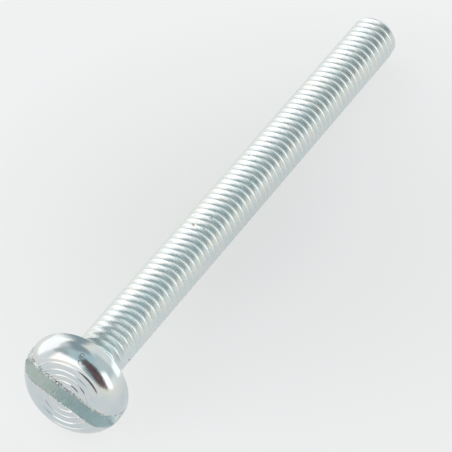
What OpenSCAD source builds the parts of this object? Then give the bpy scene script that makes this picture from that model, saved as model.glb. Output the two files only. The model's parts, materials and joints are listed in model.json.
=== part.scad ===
// Slotted pan head machine screw, M4 by 50, threaded up to the head.
//
// The screw is one cold-formed piece. Its section is drawn once, from the flat of the
// head to the end of the rolled point, and turned about the axis. The slot is cut last.
// It lies as it comes to rest on a flat surface: the rim of the head and the last full
// turn of thread touch the surface, so the axis dips a little towards the point.
//
// The thread is drawn turn by turn, with the true crest, flank angle and depth. A rolled
// thread is one helix, but at this pitch it leans by only three degrees. Drawn as rings
// one pitch apart, its crests and roots stay exact cylinders and its flanks exact cones.
// The neck beside the head keeps the diameter of the blank that the thread was rolled on.

/* [Thread] */
// Diameter over the crests of the thread
thread_d = 3.88; // [3:0.02:6]
// Pitch of the thread
pitch = 0.7; // [0.5:0.05:1]
// Length from the bearing face of the head to the end of the point
screw_l = 49.5; // [12:0.5:80]

/* [Point] */
// Diameter of the flat at the end of the point
point_d = 2.8; // [2:0.05:2.95]
// Length of the tapered point
point_l = 0.7; // [0.3:0.05:2]

/* [Head] */
// Diameter of the head
head_d = 8.2; // [7:0.05:12]
// Height of the head
head_h = 2.4; // [1.8:0.05:4]
// Radius of the rounded shoulder between the side and the flat top
shoulder_r = 1.7; // [0.4:0.05:2]
// Radius that takes the sharpness off the rim at the bearing face
rim_r = 0.25; // [0.05:0.05:0.3]
// Radius of the fillet between the bearing face and the neck
fillet_r = 0.25; // [0.05:0.05:0.3]

/* [Slot] */
// Width of the driver slot
slot_w = 1.42; // [0.8:0.02:2]
// Depth of the driver slot below the flat top
slot_depth = 1.3; // [0.5:0.05:1.6]
// Turn of the slot about the axis as the screw lies, from level
slot_turn = 24; // [-90:1:90]

/* [Hidden] */

// Fine enough for true arcs in the section and for a smooth turned form
$fn = 96;

thread_r = thread_d / 2;
head_r = head_d / 2;
point_r = point_d / 2;

// Form of the standard 60 degree thread: narrow flat crest, and a groove whose straight
// flanks lean 30 degrees each way and stop short of meeting, at a root a sixth of a pitch wide
crest_w = pitch / 8;
groove_depth = 0.6134 * pitch;
flank_l = groove_depth * tan(30);
root_r = thread_r - groove_depth;

// A thread is rolled on a blank of its pitch diameter, and may stop two pitches short of
// the head. This one stops one and a half pitches short, where its first crest rises gently.
neck_d = thread_d - 0.6495 * pitch;
neck_r = neck_d / 2;
run_out_l = 1.5 * pitch;
rise_l = (thread_r - neck_r) / tan(30);

// The crests are counted back from the end of the full thread, where the point's taper begins
full_thread_end = screw_l - point_l;
crests = floor((full_thread_end - run_out_l) / pitch) + 1;
first_crest = full_thread_end - crest_w - (crests - 1) * pitch;

// Centre of the rounded rim, which the screw rests on
rim_x = -rim_r;
rim_y = head_r - rim_r;

// Dip of the axis that brings the rim and the end of the full thread to one level
span_x = full_thread_end - rim_x;
span_y = rim_y - thread_r;
dip = atan(span_y / span_x) + asin(rim_r / norm([span_x, span_y]));

// Height of the axis above the surface, at the bearing face
axis_z = full_thread_end * sin(dip) + thread_r * cos(dip);

// Centre of the shoulder's round, seen in the section
shoulder_x = -(head_h - shoulder_r);
shoulder_y = head_r - shoulder_r;

// Ends of the screw along the surface as it lies, for an origin midway between them
low_x = shoulder_x * cos(dip) - shoulder_y * sin(dip) - shoulder_r;
high_x = screw_l * cos(dip) + point_r * sin(dip);

// Clear distance that a cutting shape runs past the metal it cuts
past = 1;

// A quarter of a disc of radius r, with its corner at the origin
module quarter(r) {
    intersection() {
        circle(r);
        square(r);
    }
}

// The head's section: axis on the left, bearing face at y = 0, flat top at y = -head_h
module head_section() {
    translate([0, -head_h])
        square([head_r - shoulder_r, head_h]);
    translate([0, -(head_h - shoulder_r)])
        square([head_r - rim_r, head_h - shoulder_r]);
    translate([0, -(head_h - shoulder_r)])
        square([head_r, head_h - shoulder_r - rim_r]);
    translate([head_r - shoulder_r, -(head_h - shoulder_r)])
        mirror([0, 1])
            quarter(shoulder_r);
    translate([head_r - rim_r, -rim_r])
        quarter(rim_r);
}

// The fillet between the bearing face and the neck
module fillet_section() {
    difference() {
        translate([0, -rim_r])
            square([neck_r + fillet_r, fillet_r + rim_r]);
        translate([neck_r + fillet_r, fillet_r])
            circle(fillet_r);
    }
}

// One crest that starts at y, as points of the section
function crest(y) = [[thread_r, y], [thread_r, y + crest_w]];

// The groove that follows that crest, as points of the section
function groove(y) = [[root_r, y + crest_w + flank_l], [root_r, y + pitch - flank_l]];

// The shank's section: neck, rise to the first crest, full thread and tapered point
module shank_section() {
    grooved_thread = [
        for (turn = [0 : crests - 2])
            let (y = first_crest + turn * pitch)
                each concat(crest(y), groove(y))
    ];
    polygon(concat(
        [[0, -rim_r], [neck_r, -rim_r], [neck_r, first_crest - rise_l]],
        grooved_thread,
        crest(full_thread_end - crest_w),
        [[point_r, screw_l], [0, screw_l]]
    ));
}

// The blank, turned about the z axis with its point up. The turn starts and ends at the
// side of the screw as it lies, clear of the line that it rests on.
module turned_blank() {
    rotate([0, 0, 90])
        rotate_extrude()
            union() {
                head_section();
                fillet_section();
                shank_section();
            }
}

// The driver slot, straight across the flat top and out through both shoulders
module driver_slot() {
    rotate([0, 0, 90 + slot_turn])
        translate([0, 0, -head_h + (slot_depth - past) / 2])
            cube([head_d + 2 * past, slot_w, slot_depth + past], center = true);
}

// The whole screw, laid down with its point towards +X
module screw() {
    color([0.74, 0.78, 0.79])
        translate([-(low_x + high_x) / 2, 0, axis_z])
            rotate([0, 90 + dip, 0])
                difference() {
                    turned_blank();
                    driver_slot();
                }
}

screw();
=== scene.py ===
# %% [markdown]
# # A slotted pan head machine screw
#
# The real object is one piece of steel wire. A press upsets one end into a head, a saw cuts
# the slot, two flat dies roll the thread, and a bath leaves a thin bright skin of zinc. This
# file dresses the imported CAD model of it: it winds the thread turn by turn, puts the tool
# marks and burrs on the head, and gives the zinc its colour and its gloss. First come the
# tools and the frame, which says where the screw lies.

# %% Tools and frame
import bmesh
import bpy
import numpy as np
from math import atan2, cos, degrees, pi, radians, sin, tan
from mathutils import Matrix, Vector
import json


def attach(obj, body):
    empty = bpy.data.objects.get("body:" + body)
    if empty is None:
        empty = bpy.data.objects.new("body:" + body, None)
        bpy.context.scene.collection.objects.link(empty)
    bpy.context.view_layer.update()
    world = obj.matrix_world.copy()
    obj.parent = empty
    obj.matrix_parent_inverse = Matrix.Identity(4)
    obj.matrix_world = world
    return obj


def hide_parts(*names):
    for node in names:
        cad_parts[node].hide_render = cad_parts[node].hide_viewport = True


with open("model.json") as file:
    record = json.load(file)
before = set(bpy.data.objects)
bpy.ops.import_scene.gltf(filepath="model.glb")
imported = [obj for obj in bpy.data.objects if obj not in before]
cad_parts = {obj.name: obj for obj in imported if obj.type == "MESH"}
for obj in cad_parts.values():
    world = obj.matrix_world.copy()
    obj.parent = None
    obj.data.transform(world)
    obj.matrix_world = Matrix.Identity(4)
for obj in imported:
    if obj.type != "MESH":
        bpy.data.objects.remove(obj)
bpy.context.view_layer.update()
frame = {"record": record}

MM = 0.001

# %% [markdown]
# The record's mounts already say how the screw lies: the thread's mount gives the axis, and
# the slot's mount is the middle of the head's flat top. So the screw's own frame is read
# from them. In it, `along` is the distance past the bearing face towards the point, `out` is
# the distance from the axis, and `turn` is the angle about the axis from level.

# %% The screw's own frame
mounts = {mount["name"]: mount for mount in frame["record"]["mounts"]}
AXIS = Vector(mounts["thread"]["axis"]).normalized()
LEVEL = Vector((0, 1, 0))
UPWARD = AXIS.cross(LEVEL).normalized()

HEAD_HEIGHT = 2.4 * MM
BEARING = Vector(mounts["driver_slot"]["pos_m"]) + AXIS * HEAD_HEIGHT


def on_screw(along, out, turn):
    """Points in metres, from arrays in the screw's own frame."""
    along, out, turn = np.broadcast_arrays(along, out, turn)
    level, upward = out * np.cos(turn), out * np.sin(turn)
    axes = np.array([AXIS, LEVEL, UPWARD])
    return np.stack([along, level, upward], axis=-1) @ axes + np.array(BEARING)


print("the axis dips", round(degrees(atan2(-AXIS.z, AXIS.x)), 2), "degrees")

# %% [markdown]
# The sizes are those of the CAD model, in metres. The thread is a 60 degree one with a
# pitch of 0.7 mm. Its crest is a narrow flat and its root is round, as rolling leaves them.

# %% Sizes
THREAD_R = mounts["thread"]["dims"]["r_mm"] * MM
PITCH = 0.7 * MM
SCREW_LENGTH = 49.5 * MM
POINT_R = 1.4 * MM
POINT_LENGTH = 0.7 * MM
NECK_R = THREAD_R - 0.6495 * PITCH / 2
RUN_OUT = 1.5 * PITCH

HEAD_R = 4.1 * MM
SHOULDER_R = 1.7 * MM
RIM_R = 0.25 * MM
FILLET_R = 0.25 * MM

SLOT_WIDTH = 1.42 * MM
SLOT_DEPTH = 1.3 * MM
SLOT_TURN = radians(24)

COLUMNS = 96
turns_of_columns = 2 * pi * np.arange(COLUMNS) / COLUMNS
print("thread", round(2 * THREAD_R / MM, 2), "mm over the crests")

# %% [markdown]
# The camera goes first, because every later choice was judged against the photograph through
# it. The photograph is taken from far away with a long lens: the shank hardly narrows with
# distance. The screw points away from the camera, and the camera looks down on it.

# %% Camera
LOOK_AT = Vector((0.83 * MM, 0.78 * MM, 0))
CAMERA_DISTANCE = 321.4 * MM
CAMERA_AZIMUTH = radians(-62.27)
CAMERA_ELEVATION = radians(40.52)
FOCAL_PIXELS = 4129
FRAME_PIXELS = 452
SENSOR_WIDTH = 36
CLIP_START, CLIP_END = 10 * MM, 10

sight = Vector((
    -sin(CAMERA_AZIMUTH) * cos(CAMERA_ELEVATION),
    cos(CAMERA_AZIMUTH) * cos(CAMERA_ELEVATION),
    -sin(CAMERA_ELEVATION),
))
camera_data = bpy.data.cameras.new("camera")
camera = bpy.data.objects.new("camera", camera_data)
bpy.context.scene.collection.objects.link(camera)
camera.location = LOOK_AT - sight * CAMERA_DISTANCE
camera.rotation_euler = sight.to_track_quat("-Z", "Y").to_euler()
camera_data.sensor_width = SENSOR_WIDTH
camera_data.lens = FOCAL_PIXELS / FRAME_PIXELS * SENSOR_WIDTH
camera_data.clip_start = CLIP_START
camera_data.clip_end = CLIP_END
bpy.context.scene.camera = camera
place = [round(v / MM, 1) for v in camera.location]
print("camera at", place, "mm, lens", round(camera_data.lens))

# %% [markdown]
# A rolled thread is a groove pressed into the blank, and the metal that it drives out makes
# the crest. One pitch of it needs only a few points: the crest and its two softened edges,
# the two straight flanks, and the round of the root. The heights follow from the angle of
# the flank and the pitch, so nothing here is measured by eye.

# %% One pitch of thread
CREST_HALF = PITCH / 12
CREST_SOFT = 0.035 * PITCH
ROOT_ROUND = 0.1443 * PITCH
FLANK = radians(30)
THREAD_DEPTH = 0.6134 * PITCH
CREST_DIP = 0.006 * MM
# A hair before the round begins, so that a point on its edge counts as in the round
ROUND_FROM = 0.499 * PITCH - ROOT_ROUND * cos(FLANK)


def groove_depth(phase):
    """Depth below the crest at a phase of 0 to 1 along one pitch, crest at 0."""
    reach = np.abs((phase + 0.5) % 1 - 0.5) * PITCH
    flank = (reach - CREST_HALF) / tan(FLANK)
    into_round = np.clip((0.5 * PITCH - reach) / ROOT_ROUND, -1, 1)
    root = THREAD_DEPTH - ROOT_ROUND * (1 - np.sqrt(1 - into_round**2))
    in_round = reach > ROUND_FROM
    return np.where(in_round, root, np.maximum(flank, 0))


soft_phase = CREST_SOFT / PITCH
crest_phase = CREST_HALF / PITCH
root_phase = 0.5 - ROOT_ROUND * cos(FLANK) / PITCH
near_root = 0.44
half_pitch = [crest_phase - soft_phase, crest_phase + soft_phase / 5, root_phase, near_root]
PHASES = np.array([0.0] + half_pitch + [0.5] + [1 - phase for phase in reversed(half_pitch)])
print("points to a pitch", len(PHASES), "groove", round(THREAD_DEPTH / MM, 3), "mm deep")

# %% [markdown]
# The thread could be cut with a Boolean, or made with the Screw modifier. Here it is a strip
# of faces wound round the shank, each turn sewn to the next along the crest. The edges then
# run along the helix, so the crest stays a clean line at any distance, and the whole shank
# is one closed skin. It starts on the neck, just past the fillet. The groove fades in over
# the run-out beside the head, and fades out on the taper of the point, where the dies let go
# of the wire.

# %% Shape of the shank
STRIP_START = 0.29 * MM
WOUND_TURNS = 69.25
GROWS_FROM = 0.5 * MM
FADING_TURNS = 0.8


def smooth(value, low, high):
    """0 below low, 1 above high, and an easy slope between."""
    part = np.clip((value - low) / (high - low), 0, 1)
    return part * part * (3 - 2 * part)


def point_limit(along):
    """Radius of the tapered point, which no crest stands above."""
    past_thread = np.clip(along - (SCREW_LENGTH - POINT_LENGTH), 0, POINT_LENGTH)
    return THREAD_R - past_thread * (THREAD_R - POINT_R) / POINT_LENGTH


def shank_radius(along, turn, wound):
    """Radius of the threaded shank at a place, wound being the turns made so far."""
    phase = (along - STRIP_START) / PITCH - turn / (2 * pi)
    crest_sag = CREST_DIP * smooth(np.abs((phase + 0.5) % 1 - 0.5), crest_phase, 0)
    full = THREAD_R - groove_depth(phase) - crest_sag
    grown = NECK_R + (full - NECK_R) * smooth(along, GROWS_FROM, RUN_OUT)
    limit = point_limit(along)
    fade = smooth(WOUND_TURNS - wound, 0, FADING_TURNS)
    return limit - (limit - np.minimum(grown, limit)) * fade


print("turns of thread", WOUND_TURNS, "over", round(WOUND_TURNS * PITCH / MM, 1), "mm")

# %% [markdown]
# A screw that has lain in a box with others has small knocks in its crests. They could be
# sculpted by hand. Here each knock is a place, a size and a depth, and the radius of the
# strip is lowered round it, so the dents stay in their places however fine the mesh is. A
# knock presses the crest alone, because the root of the thread lies too deep to be hit.

# %% Nicks in the crests
# Each is (along, turn, size, depth).
NICKS = [
    (19.1 * MM, radians(68), 0.30 * MM, 0.12 * MM),
    (17.9 * MM, radians(84), 0.26 * MM, 0.09 * MM),
    (19.4 * MM, radians(105), 0.20 * MM, 0.06 * MM),
    (25.1 * MM, radians(117), 0.20 * MM, 0.07 * MM),
    (27.8 * MM, radians(65), 0.18 * MM, 0.05 * MM),
    (26.4 * MM, radians(80), 0.18 * MM, 0.06 * MM),
    (11.6 * MM, radians(-40), 0.28 * MM, 0.07 * MM),
    (38.1 * MM, radians(-75), 0.24 * MM, 0.06 * MM),
    (21.0 * MM, radians(-160), 0.26 * MM, 0.06 * MM),
]
NICK_EDGE = 2.2
KNOCKED_DEPTH = 0.45 * THREAD_DEPTH


def nick_depth(along, turn, radius):
    """How far small knocks have pressed the crests in."""
    depth = np.zeros_like(radius)
    for nick_along, nick_turn, size, deep in NICKS:
        round_about = ((turn - nick_turn + pi) % (2 * pi) - pi) * THREAD_R
        away = np.hypot(along - nick_along, round_about) / size
        depth = depth + deep * np.exp(-(NICK_EDGE * away) ** 2)
    crest = smooth(radius, THREAD_R - KNOCKED_DEPTH, THREAD_R)
    return depth * crest


print("nicks in the crests", len(NICKS))

# %% [markdown]
# The strip is wound column by column. A column has the points of one pitch, and the next
# one stands a ninety-sixth of a turn further round and a little further along. Each turn
# ends on the crest line that the following turn starts from, so no seam is left. The first
# turn is sewn to the neck, and the last one to the ring at the end of the point.

# %% Gather points and faces
class Skin:
    """Points and faces of one closed surface, gathered before Blender sees them."""

    def __init__(self):
        self.points = np.empty((0, 3))
        self.faces = []

    def add_points(self, points):
        first = len(self.points)
        self.points = np.vstack([self.points, points.reshape(-1, 3)])
        return first + np.arange(len(points.reshape(-1, 3))).reshape(points.shape[:-1])

    def add_band(self, low, high):
        """Faces between two closed rings of the same number of points."""
        for near in range(len(low)):
            far = (near + 1) % len(low)
            self.faces.append((low[near], low[far], high[far], high[near]))


# %% Wind the strip
def wind_shank(skin, neck_ring):
    """The threaded strip, sewn to the neck's ring and closed at the point."""
    per_pitch = len(PHASES)
    last = int(WOUND_TURNS * COLUMNS)
    column = np.arange(last + COLUMNS + 1)[:, None]
    wound = column / COLUMNS
    along = STRIP_START + PITCH * (wound + PHASES[None, :])
    turn = 2 * pi * (column % COLUMNS) / COLUMNS
    radius = shank_radius(along, turn, np.minimum(wound, WOUND_TURNS))
    radius = radius - nick_depth(along, turn, radius)
    strip = skin.add_points(on_screw(along[:last + 1], radius[:last + 1], turn[:last + 1]))
    lip = skin.add_points(
        on_screw(along[last + 1:, 0], radius[last + 1:, 0], turn[last + 1:, 0]))
    crest_line = np.concatenate([strip[:, 0], lip])
    for place in range(last):
        for step in range(per_pitch - 1):
            skin.faces.append((
                strip[place, step], strip[place + 1, step],
                strip[place + 1, step + 1], strip[place, step + 1]))
        skin.faces.append((
            strip[place, -1], strip[place + 1, -1],
            crest_line[place + 1 + COLUMNS], crest_line[place + COLUMNS]))
    for place in range(COLUMNS):
        skin.faces.append((
            neck_ring[place], neck_ring[(place + 1) % COLUMNS],
            crest_line[place + 1], crest_line[place]))
    close_step(skin, neck_ring[0], list(strip[0]) + [crest_line[COLUMNS]])
    end_ring = skin.add_points(on_screw(SCREW_LENGTH, POINT_R, turns_of_columns))
    for place in range(COLUMNS):
        here, there = last + place, last + place + 1
        skin.faces.append((
            crest_line[here], crest_line[there],
            end_ring[there % COLUMNS], end_ring[here % COLUMNS]))
    last_step = [crest_line[last + COLUMNS]] + list(strip[last][::-1])
    close_step(skin, end_ring[last % COLUMNS], last_step)
    return end_ring


def close_step(skin, corner, line):
    """The small step at which a wound strip starts or stops, closed on one corner."""
    for near, far in zip(line[:-1], line[1:]):
        skin.faces.append((corner, near, far))


# %% [markdown]
# The head is a turned form, so it is a lathe section: flat top, round shoulder, a short
# straight side, a softened rim, the bearing face and the fillet. The punch that pressed the
# head was itself turned, and its grooves stand on the top as fine raised rings half a
# millimetre apart. Each ring is a small mirror of the whole shoulder: white on the side
# that faces the light, and dark on the side that faces the camera.

# %% Section of the head
RING_STEP = 0.028 * MM
RING_SPACING = 0.515 * MM
RING_RADII = [0.88 * MM + ring * RING_SPACING for ring in range(5)]
RING_WIDTH = 0.049 * MM
RING_HEIGHT = 0.055 * MM
RING_EVEN, RING_UNEVEN = 0.8, 0.3
FINE_SPACING = 0.17 * MM
FINE_HEIGHT = 0.0034 * MM
TOP_SUNK = 0.026 * MM
RINGED_R = 3.25 * MM
RINGS_FADE = 0.2 * MM
RING_WANDER = 0.012 * MM
SHOULDER_STEPS, RIM_STEPS, FILLET_STEPS = 24, 7, 6


def shoulder_sink(out):
    """How far the round shoulder lies below the flat top, at a distance from the axis."""
    past_flat = np.clip(out - (HEAD_R - SHOULDER_R), 0, SHOULDER_R)
    return SHOULDER_R - np.sqrt(SHOULDER_R**2 - past_flat**2)


def ring_relief(out, turn):
    """Height of the pressed rings above the top, which is sunk a little between them."""
    height = np.full(np.broadcast(out, turn).shape, -TOP_SUNK)
    for number, radius in enumerate(RING_RADII):
        uneven = RING_EVEN + RING_UNEVEN * np.sin(turn * (2 + number % 3) + 1.7 * number)
        away = (out - radius - RING_WANDER * np.sin(turn + number)) / RING_WIDTH
        height = height + RING_HEIGHT * uneven * np.exp(-away**2)
    fine = FINE_HEIGHT * np.sin(2 * pi * out / FINE_SPACING + 0.8 * np.sin(turn))
    return (height + fine) * smooth(-out, -RINGED_R, -RINGED_R + RINGS_FADE)


def head_section():
    """Points of the section, as (along, out) pairs from the middle of the top to the neck."""
    top_out = np.arange(RING_STEP, RINGED_R, RING_STEP)
    section = [(-HEAD_HEIGHT + shoulder_sink(out), out) for out in top_out]
    first_angle = np.arcsin((RINGED_R - HEAD_R + SHOULDER_R) / SHOULDER_R)
    for angle in np.linspace(first_angle, pi / 2, SHOULDER_STEPS):
        section.append((
            -HEAD_HEIGHT + SHOULDER_R * (1 - cos(angle)), HEAD_R - SHOULDER_R * (1 - sin(angle))))
    for angle in np.linspace(0, pi / 2, RIM_STEPS):
        section.append((-RIM_R * (1 - sin(angle)), HEAD_R - RIM_R * (1 - cos(angle))))
    inner = NECK_R + FILLET_R
    for share in (0.25, 0.5, 0.75):
        section.append((0, HEAD_R - RIM_R + (inner - HEAD_R + RIM_R) * share))
    for angle in np.linspace(0, pi / 2, FILLET_STEPS):
        section.append((FILLET_R * (1 - cos(angle)), NECK_R + FILLET_R * (1 - sin(angle))))
    return np.array(section)


print("points in the head's section", len(head_section()))

# %% Turn the head
OUT_OF_ROUND, FINER_WAVE = 0.004 * MM, 0.002 * MM
WAVY_OUT, WAVY_UP = (2.2 * MM, 3.4 * MM), (0.5 * MM, 1.2 * MM)
RELIEF_UP = (1.5 * MM, 1.9 * MM)


def turn_head(skin):
    """The turned head, open at the neck. It returns the ring at the neck."""
    section = head_section()
    along, out = section[:, 0][:, None], section[:, 1][:, None]
    turn = turns_of_columns[None, :]
    wave = OUT_OF_ROUND * np.sin(3 * turn + 0.7) + FINER_WAVE * np.sin(5 * turn + 2.1)
    on_shoulder = smooth(out, *WAVY_OUT) * smooth(-along, *WAVY_UP)
    relief = ring_relief(out, turn) * smooth(-along, *RELIEF_UP)
    points = on_screw(
        along - relief + wave * on_shoulder, out - np.abs(wave) * on_shoulder, turn)
    rings_of_points = skin.add_points(points)
    middle = skin.add_points(on_screw(-HEAD_HEIGHT, 0, 0).reshape(1, 3))[0]
    first = rings_of_points[0]
    for near in range(COLUMNS):
        skin.faces.append((middle, first[(near + 1) % COLUMNS], first[near]))
    for low, high in zip(rings_of_points[:-1], rings_of_points[1:]):
        skin.add_band(high[::-1], low[::-1])
    return rings_of_points[-1]


def mesh_from(name, points, faces):
    mesh = bpy.data.meshes.new(name)
    corners = [tuple(int(corner) for corner in face) for face in faces]
    mesh.from_pydata([tuple(point) for point in points], [], corners)
    mesh.update()
    return mesh


head_skin = Skin()
neck_ring = turn_head(head_skin)
head_skin.faces.append(tuple(neck_ring))
head_mesh = mesh_from("head_blank", head_skin.points, head_skin.faces)
print("head blank", len(head_mesh.polygons), "faces")

# %% [markdown]
# The slot is sawn, so it is a Boolean cut: nothing else leaves such honest edges where the
# slot runs out through the rounded shoulders. Two things make it look sawn and not drawn.
# The cutter's walls wander by a few hundredths of a millimetre, and the top is scored into
# small cells along the slot first, so that its edges can be pushed up into a ragged burr.

# %% Score the top along the slot
SLOT_RUN = Vector(LEVEL * cos(SLOT_TURN) + UPWARD * sin(SLOT_TURN))
SLOT_ACROSS = AXIS.cross(SLOT_RUN).normalized()
SCORE_STEP = 0.13 * MM
SCORE_FROM, SCORE_TO = -3.9 * MM, 3.95 * MM
LIP_LINES, LIP_REACH = (0.05 * MM, 0.11 * MM), 0.5 * MM
ACROSS_REACH = 0.12 * MM
SCORED_DEPTH = 1.5 * MM
SAME_LEVEL = 1e-7


def near_slot(face, reach):
    """Whether a face of the top lies beside one of the slot's two edges."""
    middle = face.calc_center_median() - BEARING
    beside = abs(abs(middle.dot(SLOT_ACROSS)) - SLOT_WIDTH / 2)
    return beside < reach and middle.dot(AXIS) < -HEAD_HEIGHT + SCORED_DEPTH


def score(work, point, normal, reach):
    """Divide the faces beside the slot along a plane, without parting them."""
    faces = [face for face in work.faces if near_slot(face, reach)]
    edges = {edge for face in faces for edge in face.edges}
    verts = {vert for face in faces for vert in face.verts}
    bmesh.ops.bisect_plane(
        work, geom=faces + list(edges) + list(verts),
        dist=SAME_LEVEL, plane_co=point, plane_no=normal)


work = bmesh.new()
work.from_mesh(head_mesh)
for side in (-1, 1):
    for beside in LIP_LINES:
        offset = side * (SLOT_WIDTH / 2 + beside)
        score(work, BEARING + SLOT_ACROSS * offset, SLOT_ACROSS, LIP_REACH)
for place in np.arange(SCORE_FROM, SCORE_TO, SCORE_STEP):
    score(work, BEARING + SLOT_RUN * float(place), SLOT_RUN, ACROSS_REACH)
bmesh.ops.triangulate(work, faces=[face for face in work.faces if len(face.verts) > 4])
work.to_mesh(head_mesh)
work.free()
print("scored head", len(head_mesh.polygons), "faces")

# %% Saw blade
SAW_CELLS_LONG = 150
SAW_CELLS_DEEP = 10
SAW_PAST_HEAD, SAW_ABOVE_TOP = 0.4 * MM, 0.5 * MM
WALL_WANDER, WALL_RIPPLE, FLOOR_RIPPLE = 0.014 * MM, 0.007 * MM, 0.012 * MM
WALL_PASSES, RIPPLE_PASSES, FLOOR_PASSES = 6, 1, 2
saw_random = np.random.default_rng(41)


def wander(length, reach, passes):
    """A smooth random line: white noise, averaged with its neighbours a few times."""
    line = saw_random.normal(0, 1, length)
    for _ in range(passes):
        line = (np.roll(line, 1) + 2 * line + np.roll(line, -1)) / 4
    return line / np.abs(line).max() * reach


def saw_blade():
    """The cutter: a box with wandering walls, over the whole width of the head."""
    half_run = HEAD_R + SAW_PAST_HEAD
    runs = np.linspace(-half_run, half_run, SAW_CELLS_LONG + 1)
    deeps = np.linspace(-SAW_ABOVE_TOP, SLOT_DEPTH, SAW_CELLS_DEEP + 1)
    points, index = [], {}
    walls = {}
    for side in (-1, 1):
        coarse = wander(len(runs), WALL_WANDER, WALL_PASSES)
        for row in range(len(deeps)):
            walls[side, row] = coarse + wander(len(runs), WALL_RIPPLE, RIPPLE_PASSES)
    floor = wander(len(runs), FLOOR_RIPPLE, FLOOR_PASSES)
    for side in (-1, 1):
        for row, deep in enumerate(deeps):
            for cell, run in enumerate(runs):
                across = side * (SLOT_WIDTH / 2 + walls[side, row][cell])
                down = deep + (floor[cell] if row == SAW_CELLS_DEEP else 0)
                place = BEARING + SLOT_RUN * run + SLOT_ACROSS * across
                index[side, row, cell] = len(points)
                points.append(place + AXIS * (down - HEAD_HEIGHT))
    faces = []
    for cell in range(SAW_CELLS_LONG):
        for row in range(SAW_CELLS_DEEP):
            for side in (-1, 1):
                corners = [(row, cell), (row, cell + 1), (row + 1, cell + 1), (row + 1, cell)]
                face = [index[side, r, c] for r, c in corners]
                faces.append(face if side > 0 else face[::-1])
        for row, flip in ((0, False), (SAW_CELLS_DEEP, True)):
            face = [index[-1, row, cell], index[-1, row, cell + 1],
                    index[1, row, cell + 1], index[1, row, cell]]
            faces.append(face[::-1] if flip else face)
    for row in range(SAW_CELLS_DEEP):
        for cell, flip in ((0, False), (SAW_CELLS_LONG, True)):
            face = [index[-1, row, cell], index[1, row, cell],
                    index[1, row + 1, cell], index[-1, row + 1, cell]]
            faces.append(face[::-1] if flip else face)
    return mesh_from("saw_blade", points, faces)


saw_mesh = saw_blade()
print("saw blade", len(saw_mesh.polygons), "faces")


# %% Saw the slot
def linked(name, mesh):
    thing = bpy.data.objects.new(name, mesh)
    bpy.context.scene.collection.objects.link(thing)
    return thing


def outward(mesh):
    """Turn every face of a closed mesh outwards."""
    work = bmesh.new()
    work.from_mesh(mesh)
    bmesh.ops.recalc_face_normals(work, faces=work.faces)
    work.to_mesh(mesh)
    work.free()


outward(saw_mesh)
outward(head_mesh)
head_object = linked("head_blank", head_mesh)
saw_object = linked("saw_blade", saw_mesh)
cut = head_object.modifiers.new("slot", "BOOLEAN")
cut.operation = "DIFFERENCE"
cut.solver = "EXACT"
cut.object = saw_object
evaluated = head_object.evaluated_get(bpy.context.evaluated_depsgraph_get())
slotted_mesh = bpy.data.meshes.new_from_object(evaluated)
for thing in (head_object, saw_object):
    bpy.data.objects.remove(thing)
print("slotted head", len(slotted_mesh.polygons), "faces")

# %% [markdown]
# The saw pushes a thin lip of metal up on each side of the slot, and tears it off in
# places. The points of the top beside the slot are lifted by a random height, more in some
# stretches than in others, and the lip leans a little over the slot. Behind it a few
# points are pressed in, so that the lip has a dark side. The lower edge of the slot has a
# little more of it, and at one end of the upper edge it is worn away.

# %% Raise the burr
BURR_HEIGHT = 0.075 * MM
BURR_LEAN = 0.030 * MM
BURR_WIDTH = 0.085 * MM
BURR_CELLS = 130
TORN_MEAN, TORN_SPREAD = 0.45, 0.8
STRETCH_MEAN, STRETCH_SWING, STRETCH_RADIANS = 0.65, 0.35, 8
LOWER_LIP_MORE = 1.25
WORN_CELLS, WORN_LIP = 26, 0.35
TOP_REACH, INTO_SLOT = 0.07 * MM, -0.03 * MM
DENT_SHARE = 0.6
LEAST_LIP, MOST_LIP = 0.25, 1.6
burr_random = np.random.default_rng(7)
burr_lines = {}
for side in (-1, 1):
    ragged = np.abs(burr_random.normal(TORN_MEAN, TORN_SPREAD, BURR_CELLS))
    swing = np.sin(np.linspace(0, STRETCH_RADIANS, BURR_CELLS) + 2 * side)
    stretches = STRETCH_MEAN + STRETCH_SWING * swing
    burr_lines[side] = np.clip(LEAST_LIP + ragged * stretches, 0, MOST_LIP)
burr_lines[-1] *= LOWER_LIP_MORE
burr_lines[1][:WORN_CELLS] *= WORN_LIP


def raise_burr(mesh):
    """Lift and lean the points beside the slot. It returns how many moved."""
    moved = 0
    for vert in mesh.vertices:
        local = vert.co - BEARING
        across, run, along = local.dot(SLOT_ACROSS), local.dot(SLOT_RUN), local.dot(AXIS)
        side = 1 if across > 0 else -1
        beside = abs(across) - SLOT_WIDTH / 2
        out = min((local - AXIS * along).length, HEAD_R)
        below_top = along + HEAD_HEIGHT - float(shoulder_sink(out))
        if abs(below_top) > TOP_REACH or not INTO_SLOT < beside < 2 * BURR_WIDTH:
            continue
        cell = int((run / (2 * HEAD_R) + 0.5) * (BURR_CELLS - 1))
        line = float(burr_lines[side][cell])
        lip = line * max(0, 1 - max(beside, 0) / BURR_WIDTH)
        dent = DENT_SHARE * line if BURR_WIDTH < beside else 0
        vert.co -= AXIS * (BURR_HEIGHT * (lip - dent))
        vert.co -= SLOT_ACROSS * (side * BURR_LEAN * lip)
        moved += 1
    return moved


print("points lifted into the burr", raise_burr(slotted_mesh))

# %% [markdown]
# Head and shank are two skins with the same ring of points where the fillet meets the neck.
# The flat cap that closed the head for the Boolean is taken off, and points that fall on
# each other are merged, so the screw becomes one closed mesh, as the real one is one piece.
# The count of open edges proves it. The end face is a little hollow, as rolling leaves it.

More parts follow.
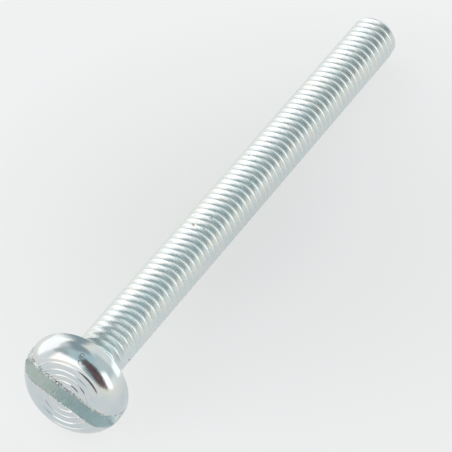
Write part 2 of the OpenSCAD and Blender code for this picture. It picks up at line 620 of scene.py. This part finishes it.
# %% Shank
END_HOLLOW, END_STEP, END_INNER_R = 0.05 * MM, 0.03 * MM, 0.78 * POINT_R
shank_skin = Skin()
neck_along = head_section()[-1][0]
shank_ring = shank_skin.add_points(on_screw(neck_along, NECK_R, turns_of_columns))
end_ring = wind_shank(shank_skin, shank_ring)
end_middle = shank_skin.add_points(on_screw(SCREW_LENGTH - END_HOLLOW, 0, 0).reshape(1, 3))[0]
end_inner = shank_skin.add_points(
    on_screw(SCREW_LENGTH - END_STEP, END_INNER_R, turns_of_columns))
shank_skin.add_band(end_ring, end_inner)
for near in range(COLUMNS):
    shank_skin.faces.append((end_inner[near], end_inner[(near + 1) % COLUMNS], end_middle))
shank_mesh = mesh_from("shank", shank_skin.points, shank_skin.faces)
print("shank", len(shank_mesh.polygons), "faces")

# %% Sew head and shank together
SAME_POINT = 0.0004 * MM
work = bmesh.new()
work.from_mesh(slotted_mesh)
neck_caps = [
    face for face in work.faces
    if all(abs((vert.co - BEARING).dot(AXIS) - neck_along) < SAME_LEVEL for vert in face.verts)]
bmesh.ops.delete(work, geom=neck_caps, context="FACES")
work.from_mesh(shank_mesh)
bmesh.ops.remove_doubles(work, verts=work.verts, dist=SAME_POINT)
bmesh.ops.recalc_face_normals(work, faces=work.faces)
open_edges = sum(1 for edge in work.edges if len(edge.link_faces) != 2)
screw_mesh = bpy.data.meshes.new("screw_body")
work.to_mesh(screw_mesh)
triangles = sum(len(face.verts) - 2 for face in work.faces)
work.free()
print("screw", triangles, "triangles,", open_edges, "open edges")

# %% [markdown]
# The same zinc looks different on each surface. The pressed head is nearly a mirror, the
# rolled thread is softer, and the sawn slot is rough and matt. So each face of the mesh is
# sorted by its place: inside the slot, on the shank, or neither. A face is in the slot when
# it lies between the walls, and either stands like a wall or lies below the lip.

# %% Sort the faces by finish
HEAD_FINISH, THREAD_FINISH, SLOT_FINISH = 0, 1, 2
THREAD_FROM = 0.02 * MM
WALL_MARGIN = 0.025 * MM
STEEP = 0.75
BELOW_LIP = 0.12 * MM


def finish_of(polygon):
    """The number of the finish that a face takes, by its place."""
    local = polygon.center - BEARING
    along = local.dot(AXIS)
    if along > THREAD_FROM:
        return THREAD_FINISH
    in_slot = abs(local.dot(SLOT_ACROSS)) < SLOT_WIDTH / 2 + WALL_MARGIN
    steep = abs(polygon.normal.dot(SLOT_ACROSS)) > STEEP
    out = min((local - AXIS * along).length, HEAD_R)
    deep = along + HEAD_HEIGHT - float(shoulder_sink(out)) > BELOW_LIP
    return SLOT_FINISH if in_slot and (steep or deep) else HEAD_FINISH


# %% Mark the sharp edges
HEAD_SHARP, THREAD_SHARP = radians(50), radians(20)


def mark_sharp_edges(mesh):
    """Keep the thread's flanks flat, and the head smooth but for its real edges."""
    work = bmesh.new()
    work.from_mesh(mesh)
    for face in work.faces:
        face.smooth = True
    for edge in work.edges:
        on_head = (edge.verts[0].co - BEARING).dot(AXIS) < FILLET_R
        edge.smooth = edge.calc_face_angle(0) < (HEAD_SHARP if on_head else THREAD_SHARP)
    work.to_mesh(mesh)
    work.free()


mark_sharp_edges(screw_mesh)
print("sharp edges", sum(1 for edge in screw_mesh.edges if edge.use_edge_sharp))

# %% Put the screw in the scene
screw = linked("screw_body", screw_mesh)
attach(screw, "root")
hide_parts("screw")
print("the dressed piece is", screw.name)

# %% [markdown]
# A finish in Blender is a graph of small nodes, and the finishes of this screw share the
# same few: a noise, a range, a row of tints, a bump, a sum and a blend. Each gets a short
# function, so that a finish further on reads as a list of what it is made of.

# %% Nodes for patterns
def new_material(name):
    material = bpy.data.materials.new(name)
    material.use_nodes = True
    nodes = material.node_tree.nodes
    return material, nodes, material.node_tree.links, nodes["Principled BSDF"]


def add_noise(nodes, links, where, scale, detail):
    noise = nodes.new("ShaderNodeTexNoise")
    noise.inputs["Scale"].default_value = scale
    noise.inputs["Detail"].default_value = detail
    links.new(where, noise.inputs["Vector"])
    return noise.outputs["Fac"]


def add_range(nodes, links, value, low, high, from_low=0.3, from_high=0.7):
    spread = nodes.new("ShaderNodeMapRange")
    spread.inputs["From Min"].default_value = from_low
    spread.inputs["From Max"].default_value = from_high
    spread.inputs["To Min"].default_value = low
    spread.inputs["To Max"].default_value = high
    links.new(value, spread.inputs["Value"])
    return spread.outputs["Result"]


def add_tints(nodes, links, value, tints):
    ramp = nodes.new("ShaderNodeValToRGB")
    ramp.color_ramp.elements.remove(ramp.color_ramp.elements[1])
    for number, (place, tint) in enumerate(tints):
        stop = ramp.color_ramp.elements[0] if number == 0 else ramp.color_ramp.elements.new(place)
        stop.position = place
        stop.color = (*tint, 1)
    links.new(value, ramp.inputs["Fac"])
    return ramp.outputs["Color"]


def add_bump(nodes, links, height, strength, distance, shader):
    bump = nodes.new("ShaderNodeBump")
    bump.inputs["Strength"].default_value = strength
    bump.inputs["Distance"].default_value = distance
    links.new(height, bump.inputs["Height"])
    links.new(bump.outputs["Normal"], shader.inputs["Normal"])


# %% Nodes for sums and blends
def add_math(nodes, links, operation, one, other):
    result = nodes.new("ShaderNodeMath")
    result.operation = operation
    for place, value in enumerate((one, other)):
        if isinstance(value, (int, float)):
            result.inputs[place].default_value = value
        else:
            links.new(value, result.inputs[place])
    return result.outputs[0]


def dot_with(nodes, links, direction, axis):
    """How far a place or a direction reaches along an axis."""
    product = nodes.new("ShaderNodeVectorMath")
    product.operation = "DOT_PRODUCT"
    product.inputs[1].default_value = axis
    links.new(direction, product.inputs[0])
    return product.outputs["Value"]


def blend(nodes, links, share, one, other):
    """A colour between two, each a socket or three numbers."""
    mix = nodes.new("ShaderNodeMix")
    mix.data_type = "RGBA"
    links.new(share, mix.inputs["Factor"])
    for name, colour in (("A", one), ("B", other)):
        if isinstance(colour, tuple):
            mix.inputs[name].default_value = (*colour, 1)
        else:
            links.new(colour, mix.inputs[name])
    return mix.outputs["Result"]


# %% [markdown]
# The bath leaves stains: a drop dries to a brown ring with a pale middle. They could be
# painted on a picture, but a picture needs an unwrapped mesh. Here each stain is a place on
# the screw with the radius of its ring, and the shader darkens the metal by its distance
# from that place.

# %% Stains
STAIN_COLOUR = (0.19, 0.16, 0.13)
STAIN_LINE = 0.062 * MM
# Each is (along, out, turn, radius of its ring).
SHANK_STAINS = [
    (19.02 * MM, THREAD_R, radians(66), 0.19 * MM),
    (17.84 * MM, THREAD_R, radians(83), 0.13 * MM),
    (19.30 * MM, THREAD_R, radians(106), 0.09 * MM),
    (17.98 * MM, THREAD_R, radians(109), 0.07 * MM),
    (25.08 * MM, THREAD_R, radians(120), 0.10 * MM),
    (27.72 * MM, THREAD_R, radians(73), 0.07 * MM),
    (26.34 * MM, THREAD_R, radians(81), 0.07 * MM),
    (29.88 * MM, THREAD_R, radians(31), 0.08 * MM),
    (4.10 * MM, THREAD_R, radians(196), 0.06 * MM),
    (33.9 * MM, THREAD_R, radians(114), 0.07 * MM),
]
HEAD_STAINS = [
    (-1.94 * MM, 3.56 * MM, radians(108), 0.19 * MM),
    (-1.70 * MM, 3.77 * MM, radians(104), 0.10 * MM),
    (-1.56 * MM, 3.87 * MM, radians(105), 0.13 * MM),
]


def stained(nodes, links, where, colour, ragged, stains):
    """The colour with a dark ring round each stain's place, broken up by a fine noise."""
    for along, out, turn, radius in stains:
        place = on_screw(along, out, turn)
        distance = nodes.new("ShaderNodeVectorMath")
        distance.operation = "DISTANCE"
        distance.inputs[1].default_value = tuple(place)
        links.new(where, distance.inputs[0])
        off_ring = add_math(nodes, links, "SUBTRACT", distance.outputs["Value"], radius)
        near = add_math(nodes, links, "ABSOLUTE", off_ring, 0)
        line = add_range(nodes, links, near, 1, 0, 0, STAIN_LINE)
        share = add_math(nodes, links, "MULTIPLY", line, ragged)
        colour = blend(nodes, links, share, colour, STAIN_COLOUR)
    return colour


print("stains", len(SHANK_STAINS), "on the shank and", len(HEAD_STAINS), "on the head")

# %% [markdown]
# Bright zinc is a metal with a cool, faintly blue-green tint, a little bluer or yellower
# from place to place where its clear coat is thicker or thinner. The gloss changes too:
# handling leaves fine scratches and small dull spots. One function makes this finish for
# the head and for the thread, each with its own tints, gloss and grain. Dirt collects along
# the torn edges of the slot, so the head gets that as well.

# %% Zinc on the head and the thread
HEAD_TINTS = [
    (0.32, (0.60, 0.67, 0.70)),
    (0.5, (0.635, 0.69, 0.705)),
    (0.72, (0.69, 0.71, 0.69)),
]
THREAD_TINTS = [
    (0.32, (0.70, 0.777, 0.78)),
    (0.5, (0.732, 0.792, 0.788)),
    (0.72, (0.778, 0.802, 0.768)),
]
CLOUDS_PER_METRE, DIRT_PER_METRE = 900, 5200
GRAIN_HEIGHT = 0.02 * MM
EDGE_DIRT_REACH, EDGE_DIRT_END = 0.10 * MM, 0.16 * MM
EDGE_DIRT_SHIFT = 0.03 * MM
MOST_DIRT = 0.85
PATCHY = (0, 1, 0.40, 0.53)
RAGGED = (0.2, 1, 0.35, 0.6)


def edge_dirt(nodes, links, where, colour, ragged):
    """The colour with dark specks caught in the torn edges of the slot."""
    across = dot_with(nodes, links, where, SLOT_ACROSS)
    offset = float(BEARING.dot(SLOT_ACROSS)) - EDGE_DIRT_SHIFT
    beside = add_math(nodes, links, "SUBTRACT", across, offset)
    from_middle = add_math(nodes, links, "ABSOLUTE", beside, 0)
    past_wall = add_math(nodes, links, "SUBTRACT", from_middle, SLOT_WIDTH / 2)
    near = add_range(nodes, links, past_wall, MOST_DIRT, 0, EDGE_DIRT_REACH, EDGE_DIRT_END)
    specks = add_noise(nodes, links, where, DIRT_PER_METRE, 2)
    patchy = add_range(nodes, links, specks, *PATCHY)
    broken = add_math(nodes, links, "MULTIPLY", patchy, ragged)
    share = add_math(nodes, links, "MULTIPLY", near, broken)
    return blend(nodes, links, share, colour, STAIN_COLOUR)


def zinc(name, tints, rough, grain, bump, stains):
    """Bright zinc: tints, a range of roughness, the size of its grain and its stains."""
    material, nodes, links, shader = new_material(name)
    where = nodes.new("ShaderNodeTexCoord").outputs["Object"]
    shader.inputs["Metallic"].default_value = 1
    clouds = add_noise(nodes, links, where, CLOUDS_PER_METRE, 3)
    fine = add_noise(nodes, links, where, grain, 4)
    colour = add_tints(nodes, links, clouds, tints)
    ragged = add_range(nodes, links, fine, *RAGGED)
    colour = stained(nodes, links, where, colour, ragged, stains)
    if stains is HEAD_STAINS:
        colour = edge_dirt(nodes, links, where, colour, ragged)
    links.new(colour, shader.inputs["Base Color"])
    links.new(add_range(nodes, links, fine, *rough), shader.inputs["Roughness"])
    add_bump(nodes, links, fine, bump, GRAIN_HEIGHT, shader)
    return material


# %% [markdown]
# The saw leaves the slot matt and scored across, from the top down to the floor. Its noise
# is one-dimensional: it changes along the slot and not across, so it draws those scores.
# The slot also changes from a pale tint at one end to a cooler teal at the other: a painted
# reflection, standing in for the pale and the teal light that its walls mirror along the slot.

# %% Zinc in the slot
# A painted reflection in the slot's tints: pale at one end, teal at the other.
PAINTED_TEAL_REFLECTION = (0.75, 0.85, 0.865)
PAINTED_MIDDLE_REFLECTION = (0.73, 0.825, 0.835)
PAINTED_PALE_REFLECTION = (0.86, 0.91, 0.885)
SCORE_TINT = 0.22
SCORES_PER_METRE, MATT_PER_METRE = 7000, 16000
SLOT_ROUGH, SLOT_BUMP = (0.45, 0.65), 0.5


def sawn_zinc():
    """Matt zinc for the slot, scored across, with a painted reflection that changes its tint
    along the slot.
    """
    material, nodes, links, shader = new_material("sawn_zinc")
    where = nodes.new("ShaderNodeTexCoord").outputs["Object"]
    shader.inputs["Metallic"].default_value = 1
    run = dot_with(nodes, links, where, SLOT_RUN)
    scores = nodes.new("ShaderNodeTexNoise")
    scores.noise_dimensions = "1D"
    scores.inputs["Scale"].default_value = SCORES_PER_METRE
    scores.inputs["Detail"].default_value = 3
    links.new(run, scores.inputs["W"])
    # The painted reflection runs from pale to teal along the slot, stirred by the saw's scores.
    painted_reflection_along = add_range(nodes, links, run, 0, 1, HEAD_R, -HEAD_R)
    stir = add_range(nodes, links, scores.outputs["Fac"], -SCORE_TINT, SCORE_TINT)
    reflection_and_scores = add_math(nodes, links, "ADD", painted_reflection_along, stir)
    tints = [(0.1, PAINTED_PALE_REFLECTION), (0.45, PAINTED_MIDDLE_REFLECTION), (0.9, PAINTED_TEAL_REFLECTION)]
    links.new(add_tints(nodes, links, reflection_and_scores, tints), shader.inputs["Base Color"])
    grain = add_noise(nodes, links, where, MATT_PER_METRE, 4)
    height = add_math(nodes, links, "ADD", scores.outputs["Fac"], grain)
    links.new(add_range(nodes, links, grain, *SLOT_ROUGH), shader.inputs["Roughness"])
    add_bump(nodes, links, height, SLOT_BUMP, GRAIN_HEIGHT, shader)
    return material


# %% Dress the screw in its finishes
finishes = [
    zinc("bright_zinc", HEAD_TINTS,
         rough=(0.10, 0.19), grain=14000, bump=0.18, stains=HEAD_STAINS),
    zinc("rolled_zinc", THREAD_TINTS,
         rough=(0.23, 0.33), grain=6500, bump=0.04, stains=SHANK_STAINS),
    sawn_zinc(),
]
for finish in finishes:
    screw_mesh.materials.append(finish)
for polygon in screw_mesh.polygons:
    polygon.material_index = finish_of(polygon)
finish_numbers = [polygon.material_index for polygon in screw_mesh.polygons]
counts = [finish_numbers.count(number) for number in range(len(finishes))]
print("faces on the head, the thread and in the slot", counts)

# %% [markdown]
# The floor is a plain pale sheet. To the camera and to the polished metal it glows a little
# by itself, so that the soft light leaves only a faint shadow on it, as in a bright photo
# box. The glow grows with the distance from the screw, which paints a soft shadow round it,
# and it is brighter towards one side, which is painted light. Where the sheet is seen or
# mirrored at a low angle it glows more, a painted sheen, as white cloth shows under a wide
# light.

# %% Floor
FLOOR_REACH = 1.2
FLOOR_COLOUR = (0.84, 0.84, 0.84, 1)
FLOOR_ROUGHNESS = 0.42

corners = ((-1, -1), (1, -1), (1, 1), (-1, 1))
floor_corners = [(x * FLOOR_REACH, y * FLOOR_REACH, 0) for x, y in corners]
floor_mesh = mesh_from("floor", floor_corners, [(0, 1, 2, 3)])
floor = linked("floor", floor_mesh)
floor_material, nodes, links, shader = new_material("pale_floor")
shader.inputs["Base Color"].default_value = FLOOR_COLOUR
shader.inputs["Roughness"].default_value = FLOOR_ROUGHNESS
floor_mesh.materials.append(floor_material)
print("floor", 2 * FLOOR_REACH, "m wide")

# %% Glow of the floor, with a painted shadow, painted light and a painted sheen
# Near the screw the glow is dimmer, a painted shadow round the screw. Far off it is an even pale
# glow.
GLOW_IN_PAINTED_SHADOW, GLOW_FAR = (0.835, 0.84, 0.84), (0.965, 0.965, 0.965)
GLOW_SHARE = 0.74
# A painted sheen: the sheet glows brighter and warmer where it is seen at a low angle.
GRAZING_PAINTED_SHEEN = (1.0, 0.965, 0.90)
PAINTED_SHEEN_FROM, PAINTED_SHEEN_TO = 0.50, 0.86
# Painted light on one side, and the distances over which the painted shadow fades out.
PAINTED_LIGHT_TOWARD = Vector((-0.1, 0.25, 0))
PAINTED_SHADOW_FADES_FROM, PAINTED_SHADOW_FADES_TO = 4 * MM, 30 * MM

where = nodes.new("ShaderNodeTexCoord").outputs["Object"]
toward_painted_light = dot_with(nodes, links, where, PAINTED_LIGHT_TOWARD)
distance = nodes.new("ShaderNodeVectorMath")
distance.operation = "LENGTH"
links.new(where, distance.inputs[0])
# Distance from the screw, leaning to one side: it sets the painted shadow and the painted light.
away = add_math(nodes, links, "ADD", distance.outputs["Value"], toward_painted_light)
far = add_range(nodes, links, away, 0, 1, PAINTED_SHADOW_FADES_FROM, PAINTED_SHADOW_FADES_TO)
facing = nodes.new("ShaderNodeLayerWeight").outputs["Facing"]
painted_sheen = add_range(nodes, links, facing, 0, 1, PAINTED_SHEEN_FROM, PAINTED_SHEEN_TO)
glow_with_painted_shadow = blend(nodes, links, far, GLOW_IN_PAINTED_SHADOW, GLOW_FAR)
glow = nodes.new("ShaderNodeEmission")
links.new(blend(nodes, links, painted_sheen, glow_with_painted_shadow, GRAZING_PAINTED_SHEEN), glow.inputs["Color"])
glow_share = add_range(nodes, links, painted_sheen, GLOW_SHARE, 1, 0, 1)
rays = nodes.new("ShaderNodeLightPath")
camera_ray, glossy_ray = rays.outputs["Is Camera Ray"], rays.outputs["Is Glossy Ray"]
seen = add_math(nodes, links, "MAXIMUM", camera_ray, glossy_ray)
mix = nodes.new("ShaderNodeMixShader")
links.new(add_math(nodes, links, "MULTIPLY", seen, glow_share), mix.inputs["Fac"])
links.new(shader.outputs[0], mix.inputs[1])
links.new(glow.outputs[0], mix.inputs[2])
links.new(mix.outputs[0], nodes["Material Output"].inputs["Surface"])
print("the glow grows from", round(PAINTED_SHADOW_FADES_FROM / MM), "to", round(PAINTED_SHADOW_FADES_TO / MM), "mm away")

# %% [markdown]
# Polished zinc shows the room more than its own colour, so the room decides how the screw
# looks. The photograph's reflections tell what stood where: white cloth beside and behind,
# greyer cloth overhead, a gap of grey between two cloths, and the dark camera stand. Each
# cloth could be a real sheet with a lamp behind it. Laid on the world's own colour instead,
# as soft-edged panels, they light the screw from far away and need no mesh. The camera is a
# leaning oval, ragged at its edge and mottled by a noise.

# %% Cloths and camera
# Each is (name, azimuth, elevation, half width, half height, softness, colour). The first
# two are in degrees, and the next three are sines of the angles that they reach.
PANELS = [
    ("overhead", 0, 90, 0.80, 0.80, 0.25, (0.76, 0.78, 0.79)),
    ("grey_gap", 24, 45, 0.34, 0.75, 0.09, (0.34, 0.415, 0.445)),
    ("back_white", 75, 20, 0.515, 0.42, 0.08, (1.53, 1.45, 1.42)),
    ("back_grey", 127, 54, 0.30, 0.37, 0.08, (0.46, 0.515, 0.535)),
    ("around_camera", -153, 32, 0.54, 0.80, 0.10, (0.56, 0.71, 0.76)),
    ("side_white", 157, 16, 0.40, 0.40, 0.06, (1.58, 1.49, 1.48)),
    ("right_grey", -28, 46, 0.40, 0.34, 0.08, (0.96, 0.96, 0.94)),
    ("right_white", -25, 7, 0.47, 0.20, 0.06, (1.66, 1.75, 1.80)),
    ("front_grey", -78, 40, 0.44, 0.40, 0.10, (0.63, 0.72, 0.75)),
    ("beside_camera", -166, 9, 0.17, 0.30, 0.06, (0.42, 0.54, 0.56)),
    ("front_white", -109, 9, 0.23, 0.42, 0.06, (1.56, 1.62, 1.65)),
]
TENT_COLOUR = (1.08, 1.06, 1.035)
CAMERA_SHAPE = ("camera", -143, 26, 0.34, 0.62, 0.06, (0.085, 0.05, 0.055))
CAMERA_LEAN = 0.24
CAMERA_RAGGED = 0.40
CAMERA_FOLDS = 11
CAMERA_MOTTLE = (0, 1, 0.42, 0.62)
CAMERA_LIGHTER = (0.27, 0.19, 0.19)
print("panels in the tent", len(PANELS))


# %% Place on a panel
def toward(azimuth, elevation):
    """Unit vector from the middle of the room, by azimuth and elevation in degrees."""
    level, up = radians(azimuth), radians(elevation)
    return Vector((cos(up) * cos(level), cos(up) * sin(level), sin(up)))


def within(nodes, links, value, half, soft):
    """1 inside plus or minus half, 0 outside, with a soft edge."""
    size = add_math(nodes, links, "ABSOLUTE", value, 0)
    edge = nodes.new("ShaderNodeMapRange")
    edge.interpolation_type = "SMOOTHSTEP"
    edge.inputs["From Min"].default_value = half - soft
    edge.inputs["From Max"].default_value = half + soft
    edge.inputs["To Min"].default_value = 1
    edge.inputs["To Max"].default_value = 0
    links.new(size, edge.inputs["Value"])
    return edge.outputs["Result"]


def facing_sides(nodes, links, direction, panel):
    """How far a direction lies beside and above a panel's middle, and whether it faces it."""
    azimuth, elevation = panel[1:3]
    facing = toward(azimuth, elevation)
    sideways = toward(azimuth + 90, 0)
    upright = facing.cross(sideways)
    ahead = add_math(
        nodes, links, "GREATER_THAN", dot_with(nodes, links, direction, facing), 0)
    beside = dot_with(nodes, links, direction, sideways)
    above = dot_with(nodes, links, direction, upright)
    return beside, above, ahead


# %% Hang a panel and stand the camera
def hang_panel(nodes, links, direction, below, panel):
    """Lay one panel over the colour of those before it."""
    *_, half_width, half_height, soft, colour = panel
    beside, above, ahead = facing_sides(nodes, links, direction, panel)
    wide = within(nodes, links, beside, half_width, soft)
    high = within(nodes, links, above, half_height, soft)
    area = add_math(nodes, links, "MULTIPLY", wide, high)
    share = add_math(nodes, links, "MULTIPLY", area, ahead)
    return blend(nodes, links, share, below, colour)


def stand_camera(nodes, links, direction, below, shape):
    """The camera on its stand: a dark, mottled oval with a ragged edge."""
    *_, half_width, half_height, soft, colour = shape
    beside, above, ahead = facing_sides(nodes, links, direction, shape)
    leaning = add_math(nodes, links, "MULTIPLY", above, CAMERA_LEAN)
    upright = add_math(nodes, links, "ADD", beside, leaning)
    across = add_math(nodes, links, "DIVIDE", upright, half_width)
    upward = add_math(nodes, links, "DIVIDE", above, half_height)
    squares = [add_math(nodes, links, "MULTIPLY", value, value) for value in (across, upward)]
    folds = add_noise(nodes, links, direction, CAMERA_FOLDS, 3)
    ragged = add_range(nodes, links, folds, -CAMERA_RAGGED, CAMERA_RAGGED)
    outline = add_math(nodes, links, "ADD", add_math(nodes, links, "ADD", *squares), ragged)
    oval = within(nodes, links, outline, 1, 2 * soft)
    lighter = add_range(nodes, links, folds, *CAMERA_MOTTLE)
    mottled = blend(nodes, links, lighter, colour, CAMERA_LIGHTER)
    share = add_math(nodes, links, "MULTIPLY", oval, ahead)
    return blend(nodes, links, share, below, mottled)


# %% Light tent
world = bpy.data.worlds.new("tent")
bpy.context.scene.world = world
world.use_nodes = True
nodes, links = world.node_tree.nodes, world.node_tree.links
where = nodes.new("ShaderNodeTexCoord").outputs["Generated"]
cloth = TENT_COLOUR
for panel in PANELS:
    cloth = hang_panel(nodes, links, where, cloth, panel)
cloth = stand_camera(nodes, links, where, cloth, CAMERA_SHAPE)
links.new(cloth, nodes["Background"].inputs["Color"])
bpy.context.scene.view_settings.view_transform = "Standard"
print("nodes in the world", len(nodes))

# %% [markdown]
# The dressed screw has to fill the same box as the CAD model, apart from the thin burr that
# stands above the top of the head.

import json
